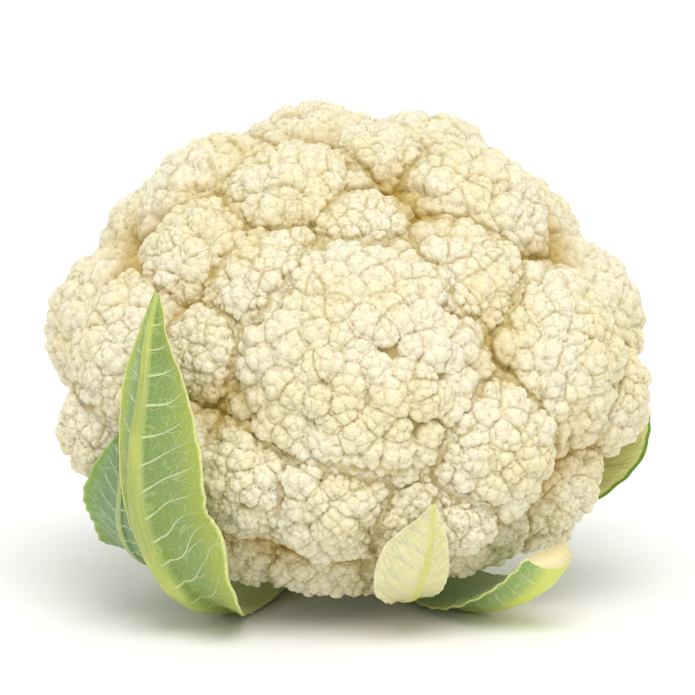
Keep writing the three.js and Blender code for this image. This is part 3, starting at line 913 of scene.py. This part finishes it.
def waved_lift(leaf, share, length, across, width):
    """How far the flare, the waves and the frill lift the blade off the curd."""
    on_left = across < 0
    edge = np.abs(across) / width
    side = np.where(on_left, leaf["wave"]["left"], leaf["wave"]["right"])
    flare = np.where(on_left, leaf["flare"]["left"], leaf["flare"]["right"])
    flare = flare * np.minimum(1, width / FULL_FLARE_WIDTH)
    phase = np.where(on_left, LEFT_WAVE_PHASE, 0.0)
    wave = 0.5 + 0.5 * np.sin(2 * math.pi * leaf["wave"]["count"] * share + phase)
    frill = 0.5 + 0.5 * np.sin(2 * math.pi * length / FRILL["length"] + 2 * phase + 3 * wave)
    frill = frill * np.minimum(1, width / FRILL["full_width"])
    lift = flare * edge ** 2 + leaf["wave"]["height"] * side * wave * edge ** 3
    lift = lift + FRILL["height"] * side * frill * edge ** 5
    return np.minimum(1, 3 * share) * lift


def grow_leaf(leaf, seed):
    """Points in the head's frame, faces of a closed shell, and the leaf's masks."""
    row_count, side_count = leaf["grid"]
    share = np.linspace(0, 1, row_count + 1)
    centre = midrib_points(leaf, share)
    ahead = midrib_points(leaf, np.minimum(1, share + MIDRIB_STEP))
    behind = midrib_points(leaf, np.maximum(0, share - MIDRIB_STEP))
    rightward = unit(np.cross(ahead - behind, centre))
    steps = np.linalg.norm(np.diff(centre, axis=0), axis=1)
    length = np.concatenate([[0], np.cumsum(steps)])
    values = along_stations(leaf["stations"], share)
    rib = leaf["rib"]
    fade = (1 - share) ** rib["fade"]
    rib_half = rib["tip"] + (rib["base"] - rib["tip"]) * fade
    rib_height = rib["tip_height"] + (rib["height"] - rib["tip_height"]) * fade
    left, right = toothed_halves(values, rib_half, np.random.default_rng(seed))

    # From here on, rows run along the leaf and columns run across it.
    rows = (share, length, rib_half, rib_height, left, right)
    share, length, rib_half, rib_height, left, right = (row[:, None] for row in rows)
    over_rib = np.sin(math.pi * (np.linspace(0, 1, side_count // 4 * 2 + 1) - 0.5))
    over_blade = np.arange(1, side_count + 1) / side_count
    across = np.concatenate([
        -rib_half - (left - rib_half) * over_blade[::-1],
        rib_half * over_rib,
        rib_half + (right - rib_half) * over_blade,
    ], axis=1)
    width = np.where(across < 0, left, right)
    edge = np.abs(across) / width
    rib_share = np.abs(across) / rib_half
    soft = smooth_step(0.9, 1.4, rib_share) * smooth_step(0.1, 0.35, share)
    soft = soft * np.minimum(1, width / FULL_PUCKER_WIDTH)
    lift = waved_lift(leaf, share, length, across, width)
    lift = lift - PUCKER_DEPTH * cushions(leaf, length, across, width) * soft

    out = unit(centre[:, None, :] + rightward[:, None, :] * across[..., None])
    radius = egg_radius(SKIN, out) + values[:, 2:3] + lift
    bulge = np.sqrt(np.maximum(0, 1 - rib_share ** 2)) * rib_height
    thick = BLADE * (1 - MARGIN_THINNING * edge ** 4) + bulge
    inner = out * radius[..., None]
    outer = out * (radius + thick)[..., None]
    points = np.concatenate([outer.reshape(-1, 3), inner.reshape(-1, 3)])
    masks = {"across": across, "width": width, "rib_share": rib_share, "edge": edge,
             "along": length, "share": share, "cut": (share >= 1) * 1.0}
    masks = {key: np.tile(np.broadcast_to(mask, across.shape).ravel(), 2) for key, mask in masks.items()}
    masks["inner"] = np.repeat([0.0, 1.0], across.size)
    return points, shell_faces(*across.shape), masks


def shell_faces(rows, columns):
    """Quads of two like grids, outer then inner, closed round the edge."""
    index = np.arange(rows * columns).reshape(rows, columns)
    corners = (index[:-1, :-1], index[:-1, 1:], index[1:, 1:], index[1:, :-1])
    outer_faces = np.stack(corners, -1).reshape(-1, 4)
    inner_faces = (outer_faces + rows * columns)[:, ::-1]
    rim = np.concatenate([index[0, :], index[1:, -1], index[-1, -2::-1], index[-2:0:-1, 0]])
    after = np.roll(rim, -1)
    rim_faces = np.stack([rim, rim + rows * columns, after + rows * columns, after], -1)
    return np.concatenate([outer_faces, inner_faces, rim_faces])


# %% [markdown]
# A leaf's outer face is a waxy green, yellower towards the margin, with the midrib and the
# side veins in a pale yellow green. The smallest veins make a net that only shows as a
# slightly lighter line. The left half of each blade takes a tint of its own, lighter on some
# leaves and darker on others, which is painted light and shade. Masks from the mesh say
# where the rib, the veins and the margin are.

# %% The leaves' materials
# The left tints are painted light and shade on each blade's left half.
LEAF_COLOURS = {
    "leaf_left_front": {"blade": (134, 160, 86), "cloud": (144, 168, 70), "left": (142, 166, 118),
                        "margin": (172, 184, 70), "rim": (220, 224, 146), "rib": (168, 180, 90),
                        "vein": (206, 216, 158), "inner": (220, 228, 158), "petiole": (216, 224, 108)},
    "leaf_left_side": {"blade": (128, 156, 104), "cloud": (112, 146, 84), "left": (124, 152, 104),
                       "margin": (132, 166, 60), "rim": (176, 196, 100), "rib": (170, 188, 120),
                       "vein": (190, 208, 164), "inner": (180, 198, 120), "petiole": (172, 186, 96)},
    "leaf_front_stub": {"blade": (228, 222, 166), "cloud": (220, 217, 148), "left": (230, 225, 172),
                        "margin": (234, 226, 172), "rim": (240, 234, 190), "rib": (214, 212, 122),
                        "vein": (244, 240, 200), "inner": (240, 232, 180), "petiole": (206, 208, 96)},
    "leaf_right_front": {"blade": (212, 218, 92), "cloud": (218, 224, 110), "left": (160, 190, 118),
                         "margin": (164, 190, 84), "rim": (220, 226, 140), "rib": (214, 220, 96),
                         "vein": (214, 224, 166), "inner": (180, 208, 150), "petiole": (222, 228, 104)},
    "leaf_right_side": {"blade": (150, 172, 60), "cloud": (130, 156, 40), "left": (128, 156, 36),
                        "margin": (120, 150, 30), "rim": (104, 138, 20), "rib": (186, 196, 96),
                        "vein": (196, 206, 120), "inner": (240, 238, 170), "petiole": (186, 196, 100)},
}
LEAF_COLOURS["leaf_back_right"] = LEAF_COLOURS["leaf_left_front"]
LEAF_COLOURS["leaf_back"] = LEAF_COLOURS["leaf_left_front"]
LEAF_COLOURS["leaf_back_left"] = LEAF_COLOURS["leaf_left_side"]
CUT_FACE = (236, 222, 172)


def leaf_material(name, leaf, colours):
    material, tree, shader = new_material(name)
    tint = tints_of(colours)
    along = attribute(tree, "along")
    across = attribute(tree, "across")
    edge = attribute(tree, "edge")
    left_slope, slope = leaf["slopes"]
    blade = place_group(tree, MOTTLED, Colour=tint["blade"], Cloud_colour=tint["cloud"],
                        Size=60.0, Amount=0.9)
    # The rib's clouds use the petiole colour, which is partly painted light.
    rib = place_group(tree, MOTTLED, Colour=tint["rib"], Cloud_colour=tint["petiole"],
                      Size=90.0, Amount=0.5)
    veins = place_group(tree, VEINS, Along=along, Across=across, Width=attribute(tree, "width"),
                        Spacing=leaf["spacing"], Slope=slope, Left_slope=left_slope)
    fibres = place_group(tree, FIBRES, Along=along, Across=across, Spacing=0.9)
    on_petiole = 1.0 - smooth_mask(0.18, 0.4, attribute(tree, "share"))
    on_blade = 1.0 - on_petiole
    on_rib = 1.0 - smooth_mask(0.45, 1.0, attribute(tree, "rib_share"))
    streak = fibres["Fibre"] * 0.35 * on_rib

    # Each layer covers those before it, by its share.
    layers = [
        # Painted light and shade: the blade's left half takes a tint of its own, lighter than the blade on
        # some leaves and darker on others.
        (across < 0.0, tint["left"]),
        (smooth_mask(0.45, 0.95, edge) * 0.8, tint["margin"]),
        # Partly painted light: the petiole's own pale yellow green is made lighter still, standing in for
        # light bounced up from the floor into the shade under the curd.
        (on_petiole, tint["petiole"]),
        (veins["Net"] * 0.28 * on_blade, tint["vein"]),
        (veins["Vein"] * on_blade, tint["vein"]),
        (on_rib, rib["Colour"]),
        (streak, tint["vein"]),
        (attribute(tree, "inner") * 0.85, tint["inner"]),
        (smooth_mask(0.93, 0.99, edge), tint["rim"]),
    ]
    if name == "leaf_right_front":
        layers.append((smooth_mask(0.3, 0.7, attribute(tree, "cut")), linear(*CUT_FACE)))
    colour = blade["Colour"]
    for share, tone in layers:
        colour = mix_colour(tree, share, colour, tone)
    set_inputs(tree, shader, Base_Color=colour, Roughness=0.48, Specular_IOR_Level=0.4,
               Subsurface_Weight=0.2, Subsurface_Radius=(0.6, 1.0, 0.25), Subsurface_Scale=0.0015)
    relief = (veins["Vein"] + veins["Net"] * 0.35) * (1.0 - on_rib) + streak * 1.2
    bump_into(tree, shader, relief, 0.0004)
    return material


def leaf_piece(name, seed):
    points, faces, masks = grow_leaf(LEAVES[name], seed)
    placed = to_row_frame(points)
    placed[:, 2] = np.maximum(placed[:, 2], 0.0)
    material = leaf_material(name, LEAVES[name], LEAF_COLOURS[name])
    return make_piece(name + "_blade", placed, faces, masks, name, material)


for seed, name in enumerate(LEAVES):
    print(name, len(leaf_piece(name, 40 + seed).data.polygons), "quads")

# %% [markdown]
# The stem is cut across with a knife where the head left the field. Its skin is pale green
# with raised scars of leaves cut off lower down, and its cut face is cream with a darker
# ring under the skin and a softer pith inside. Its wall is a turned shape whose radius
# changes by a formula, and it ends on the surface that the head rests on.

# %% The stem
STEM = {"radius": 23.5, "top": -34.0, "sides": 120, "rows": 48, "rings": 14}
SCARS = [(78, -68, 15, 6), (124, -68, 15, 6), (-165, -72, 17, 6), (-118, -64, 15, 6)]
SCAR_HEIGHT = 1.3


def scar_relief(bearing, height):
    relief = np.zeros_like(height)
    for middle, level, width, tall in SCARS:
        turn = (bearing - middle + 180) % 360 - 180
        across = np.radians(turn) * STEM["radius"] / (width / 2)
        up = (height - level) / (tall / 2)
        relief = np.maximum(relief, np.minimum(1, 2 * (1 - np.hypot(across, up))))
    return np.maximum(0, relief)


def stem_radius(bearing, height):
    lobed = 0.5 * np.cos(np.radians(5 * bearing)) + 0.4 * np.sin(np.radians(3 * bearing + 40))
    waist = 1.2 * np.cos((height + 58) / 14)
    return STEM["radius"] + lobed + waist + SCAR_HEIGHT * scar_relief(bearing, height)


def floor_height(bearing, radius):
    """The height on the stem's wall at which it meets the surface below."""
    y = -radius * np.cos(np.radians(bearing))
    return (-HEAD_CENTRE[2] - y * math.sin(HEAD_LEAN)) / math.cos(HEAD_LEAN)


def stem_piece(material):
    bearing = np.arange(STEM["sides"]) * 360 / STEM["sides"]
    share = np.linspace(0, 1, STEM["rows"] + 1)[:, None]
    bottom = floor_height(bearing, stem_radius(bearing, floor_height(bearing, STEM["radius"])))
    height = STEM["top"] + (bottom - STEM["top"]) * share
    radius = stem_radius(bearing, height)
    fibre = 0.12 * np.sin(np.radians(bearing * 37)) + 0.1 * np.sin(np.radians(bearing * 61) + height / 5)
    radius = radius + fibre * np.sin(math.pi * share)
    turn = np.radians(bearing)
    wall = np.stack([radius * np.sin(turn), -radius * np.cos(turn), height], -1)
    inward = np.linspace(1, 0, STEM["rings"] + 1)[1:-1, None, None]
    foot_middle = np.array([0, 0, -HEAD_CENTRE[2] / math.cos(HEAD_LEAN)])
    foot = foot_middle + (wall[-1] - foot_middle) * inward
    ends = [foot_middle, [0, 0, STEM["top"]]]
    points = np.concatenate([wall.reshape(-1, 3), foot.reshape(-1, 3), ends])
    placed = to_row_frame(points)
    placed[:, 2] = np.maximum(placed[:, 2], 0.0)
    rows = len(wall) + len(foot)
    grid = np.arange(rows * STEM["sides"]).reshape(rows, STEM["sides"])
    after = np.roll(grid, -1, axis=1)
    quads = np.stack([grid[:-1], grid[1:], after[1:], after[:-1]], -1).reshape(-1, 4)
    triangles = np.concatenate([quads[:, [0, 1, 2]], quads[:, [0, 2, 3]]])
    middle, top = len(points) - 2, len(points) - 1
    foot_fan = np.stack([grid[-1], np.full_like(grid[-1], middle), after[-1]], -1)
    top_fan = np.stack([grid[0], after[0], np.full_like(grid[0], top)], -1)
    faces = np.concatenate([triangles, foot_fan, top_fan])

    on_wall = STEM["sides"] * len(wall)
    no_wall = np.zeros(len(points) - on_wall)
    cut = np.concatenate([np.zeros(on_wall), np.ones(len(no_wall) - 1), [0]])
    ring = np.concatenate([np.ones(on_wall), np.repeat(inward.ravel(), STEM["sides"]), [0, 1]])
    scar = scar_relief(np.broadcast_to(bearing, height.shape), height).ravel()
    around = np.tile(np.radians(np.minimum(bearing, 360 - bearing)) * STEM["radius"], len(wall))
    masks = {"cut": cut, "ring": ring, "scar": np.concatenate([scar, no_wall]),
             "around": np.concatenate([around, no_wall]),
             "height": np.concatenate([height.ravel(), no_wall])}
    return make_piece("stem_wall", placed, faces, masks, "stem", material)


STEM_COLOURS = {
    "skin": (206, 214, 158), "skin_cloud": (226, 228, 184), "flesh": (236, 232, 196),
    "flesh_cloud": (224, 216, 168), "ring": (190, 194, 128), "fibre": (186, 196, 130),
    "scar": (214, 196, 148),
}
RING_PLACE, RING_HALF = 0.84, 0.06


def stem_material():
    material, tree, shader = new_material("stem")
    tint = tints_of(STEM_COLOURS)
    skin = place_group(tree, MOTTLED, Colour=tint["skin"], Cloud_colour=tint["skin_cloud"],
                       Size=55.0, Amount=0.8)
    flesh = place_group(tree, MOTTLED, Colour=tint["flesh"], Cloud_colour=tint["flesh_cloud"],
                        Size=140.0, Amount=0.7)
    grain = place_group(tree, GRAIN, Grain_size=900.0, Roundness=0.8)
    fibres = place_group(tree, FIBRES, Along=attribute(tree, "height"), Across=attribute(tree, "around"),
                         Spacing=1.6)
    on_ring = (1.0 - abs(attribute(tree, "ring") - RING_PLACE) / RING_HALF).clamped()
    face = mix_colour(tree, on_ring, flesh["Colour"], tint["ring"])
    colour = mix_colour(tree, fibres["Fibre"] * 0.4, skin["Colour"], tint["fibre"])
    colour = mix_colour(tree, attribute(tree, "scar"), colour, tint["scar"])
    colour = mix_colour(tree, attribute(tree, "cut"), colour, face)
    set_inputs(tree, shader, Base_Color=colour, Roughness=0.5, Subsurface_Weight=0.2,
               Subsurface_Radius=(0.9, 1.0, 0.4), Subsurface_Scale=0.002)
    bump_into(tree, shader, grain["Height"], 0.0002)
    return material


print("stem:", len(stem_piece(stem_material()).data.polygons), "triangles")

# %% [markdown]
# The studio is as plain as it can be: a white floor that runs out of the picture, a white
# surround that fills the shadows, and one broad soft light above and in front. The camera
# stands at the photograph's angle with a long lens, 12 degrees above the surface.

# %% Floor, light and camera
VIEW_ELEVATION = math.radians(12)
VIEW_WIDTH = 0.2085
CAMERA_DISTANCE = 10.0
AIM = Vector((-0.0005, 0.0, 0.0751))
FLOOR_HALF = 3.0
# A little under the head, so that the floor and the stem's cut face never share one plane.
FLOOR_LEVEL = -0.0003


def white_floor():
    mesh = bpy.data.meshes.new("floor")
    signs = ((-1, -1), (1, -1), (1, 1), (-1, 1))
    corners = [(x * FLOOR_HALF, y * FLOOR_HALF, FLOOR_LEVEL) for x, y in signs]
    mesh.from_pydata(corners, [], [(0, 1, 2, 3)])
    floor = bpy.data.objects.new("floor", mesh)
    bpy.context.collection.objects.link(floor)
    material, tree, shader = new_material("floor")
    set_inputs(tree, shader, Base_Color=(0.96, 0.96, 0.96, 1), Roughness=0.9, Specular_IOR_Level=0.1)
    mesh.materials.append(material)


def soft_sun(name, place, spread, power):
    """A broad light far away, so the floor is lit as evenly as the head."""
    lamp = bpy.data.lights.new(name, "SUN")
    lamp.angle = math.radians(spread)
    lamp.energy = power
    light = bpy.data.objects.new(name, lamp)
    light.location = place
    light.rotation_euler = (-Vector(place)).to_track_quat("-Z", "Y").to_euler()
    bpy.context.collection.objects.link(light)


def studio():
    world = bpy.data.worlds.new("studio")
    world.use_nodes = True
    set_inputs(world.node_tree, world.node_tree.nodes["Background"], Color=WHITE, Strength=0.8)
    bpy.context.scene.world = world
    soft_sun("key", (0.1, -0.72, 1.2), 40, 1.5)
    bpy.context.scene.view_settings.view_transform = "Standard"


def photo_camera():
    lens = bpy.data.cameras.new("camera")
    lens.sensor_width = 36.0
    lens.lens = lens.sensor_width * CAMERA_DISTANCE / VIEW_WIDTH
    lens.clip_end = 40.0
    camera = bpy.data.objects.new("camera", lens)
    back = Vector((0, -math.cos(VIEW_ELEVATION), math.sin(VIEW_ELEVATION)))
    camera.location = AIM + back * CAMERA_DISTANCE
    camera.rotation_euler = (-back).to_track_quat("-Z", "Y").to_euler()
    bpy.context.collection.objects.link(camera)
    bpy.context.scene.camera = camera


white_floor()
studio()
photo_camera()
print("camera", round(bpy.data.cameras["camera"].lens), "mm lens at", CAMERA_DISTANCE, "m")
